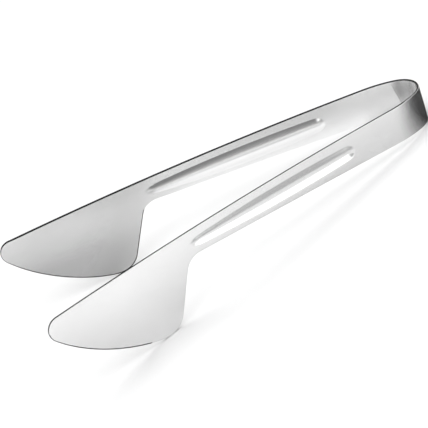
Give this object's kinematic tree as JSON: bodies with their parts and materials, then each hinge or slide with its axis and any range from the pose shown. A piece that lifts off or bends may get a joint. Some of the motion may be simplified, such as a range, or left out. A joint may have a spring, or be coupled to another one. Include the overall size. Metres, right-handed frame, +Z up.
{
  "type": "pastry tongs",
  "caption": "Springy pastry tongs bent from a strip of satin stainless steel, with a pressed groove along each arm and broad flat spatula blades.",
  "frame": {"origin": "on the table, under the middle of the bounding box, with the tongs standing on the lower corner of the bow and on the undersides of both blades", "axes": "+X along the tongs towards the bow, +Y towards the left arm, +Z up from the table"},
  "size_m": [0.2052, 0.0916, 0.0442],
  "materials": {
    "satin_steel": "satin stainless steel"
  },
  "bodies": {
    "bow": {"spring_bow": "satin_steel"},
    "left_side": {"left_arm": "satin_steel", "left_blade": "satin_steel"},
    "right_side": {"right_arm": "satin_steel", "right_blade": "satin_steel"}
  },
  "joints": [
    {"name": "left_flex", "type": "hinge", "parent": "bow", "child": "left_side", "pos_m": [0.08623, 0.01429, 0.01138], "axis": [0.1894, 0, 0.9819], "range_deg": [0, 13.2], "stiffness_Nm_per_rad": 5.3},
    {"name": "right_flex", "type": "hinge", "parent": "bow", "child": "right_side", "pos_m": [0.08623, -0.01429, 0.01138], "axis": [-0.1894, 0, -0.9819], "range_deg": [0, 13.2], "stiffness_Nm_per_rad": 5.3}
  ],
  "couplings": [
    {"joint": "right_flex", "follows": "left_flex", "ratio": 1}
  ]
}
